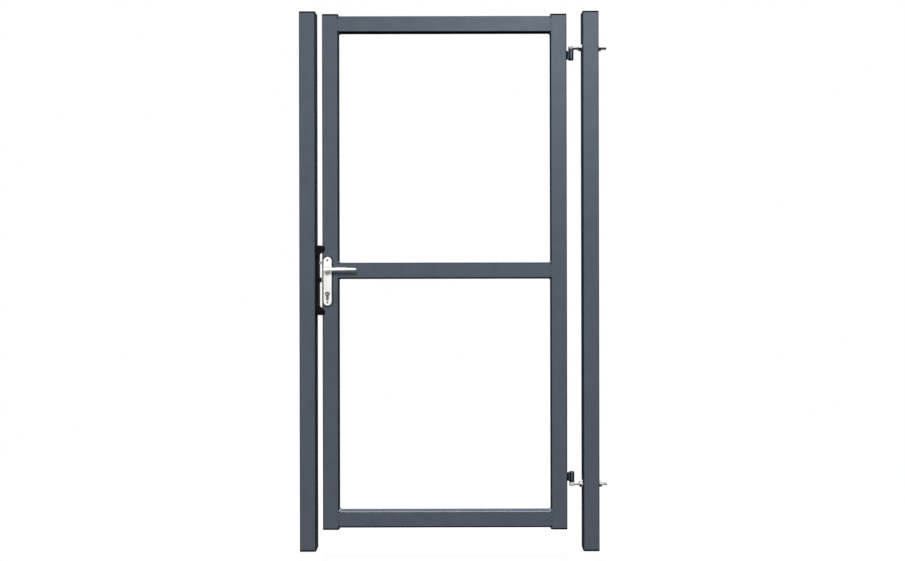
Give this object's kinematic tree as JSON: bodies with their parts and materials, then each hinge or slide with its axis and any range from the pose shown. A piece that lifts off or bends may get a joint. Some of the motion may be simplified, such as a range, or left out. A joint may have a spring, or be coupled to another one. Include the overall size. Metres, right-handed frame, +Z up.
{
  "type": "wicket gate",
  "caption": "Steel wicket gate: welded tube leaf on adjustable eye-bolt hinges between planted posts, with a lever lock, profile cylinder and moulded keep",
  "frame": {"origin": "middle of the hinge post's foot, on its lower end", "axes": "+X from the lock post to the hinge post, +Y away from the viewer in front, +Z up"},
  "size_m": [1.142, 0.156, 2],
  "materials": {
    "anthracite_powder_coat": "satin powder coat, fine grain",
    "black_cap_plastic": "moulded, lightly grained",
    "black_keep": "glass-filled moulding, low sheen",
    "zinc_plated_steel": "bright zinc plate",
    "satin_aluminium": "fine blasted, satin anodised",
    "stainless_steel": "brushed lengthwise",
    "nickel_plate": "satin nickel",
    "lock_steel": "zinc plated, dull",
    "spring_steel": "blued strip"
  },
  "bodies": {
    "posts": {"lock_post": "anthracite_powder_coat", "hinge_post": "anthracite_powder_coat", "lock_post_cap": "black_cap_plastic", "hinge_post_cap": "black_cap_plastic", "keep_latch_body": "black_keep", "deadbolt_strike": "black_keep", "keep_lower_body": "black_keep", "keep_upper_stop": "black_keep", "keep_lower_stop": "black_keep", "keep_screws": "stainless_steel", "upper_eye_bolt": "zinc_plated_steel", "lower_eye_bolt": "zinc_plated_steel", "hinge_nuts": "zinc_plated_steel", "hinge_washers": "zinc_plated_steel"},
    "leaf": {"lock_stile": "anthracite_powder_coat", "hinge_stile": "anthracite_powder_coat", "top_rail": "anthracite_powder_coat", "middle_rail": "anthracite_powder_coat", "bottom_rail": "anthracite_powder_coat", "frame_welds": "anthracite_powder_coat", "lock_stile_top_cap": "black_cap_plastic", "lock_stile_bottom_cap": "black_cap_plastic", "hinge_stile_top_cap": "black_cap_plastic", "hinge_stile_bottom_cap": "black_cap_plastic", "upper_hinge_barrel": "anthracite_powder_coat", "lower_hinge_barrel": "anthracite_powder_coat", "upper_hinge_pin": "anthracite_powder_coat", "lower_hinge_pin": "anthracite_powder_coat", "lock_case": "lock_steel", "lock_case_cover": "lock_steel", "lock_faceplate": "stainless_steel", "faceplate_screws": "stainless_steel", "latch_spring": "spring_steel", "cylinder_body": "nickel_plate", "cylinder_fixing_screw": "stainless_steel", "front_backplate": "satin_aluminium", "rear_backplate": "satin_aluminium", "plate_screws": "stainless_steel"},
    "handle": {"front_lever": "satin_aluminium", "rear_lever": "satin_aluminium", "spindle": "lock_steel", "follower": "lock_steel", "lever_grub_screws": "stainless_steel"},
    "latch": {"latch_bolt": "lock_steel"},
    "bolt": {"deadbolt": "lock_steel"},
    "key_cylinder": {"front_plug": "nickel_plate", "rear_plug": "nickel_plate", "cylinder_cam": "lock_steel"}
  },
  "joints": [
    {"name": "leaf_swing", "type": "hinge", "parent": "posts", "child": "leaf", "pos_m": [-0.07, 0, 0], "axis": [0, 0, -1], "range_deg": [0, 90]},
    {"name": "handle_turn", "type": "hinge", "parent": "leaf", "child": "handle", "pos_m": [-0.976, 0, 1.046], "axis": [0, 1, 0], "range_deg": [0, 40], "stiffness_Nm_per_rad": 1.5, "springref_deg": -28.65},
    {"name": "latch_slide", "type": "slide", "parent": "leaf", "child": "latch", "axis": [1, 0, 0], "range_m": [0, 0.012], "deforming": ["latch_spring"]},
    {"name": "cylinder_turn", "type": "hinge", "parent": "leaf", "child": "key_cylinder", "pos_m": [-0.976, 0, 0.954], "axis": [0, 1, 0], "range_deg": [0, 360]},
    {"name": "deadbolt_slide", "type": "slide", "parent": "leaf", "child": "bolt", "axis": [-1, 0, 0], "range_m": [0, 0.014]}
  ],
  "couplings": [
    {"joint": "latch_slide", "follows": "handle_turn", "m_per_rad": 0.01718},
    {"joint": "deadbolt_slide", "follows": "cylinder_turn", "m_per_rad": 0.002228}
  ]
}
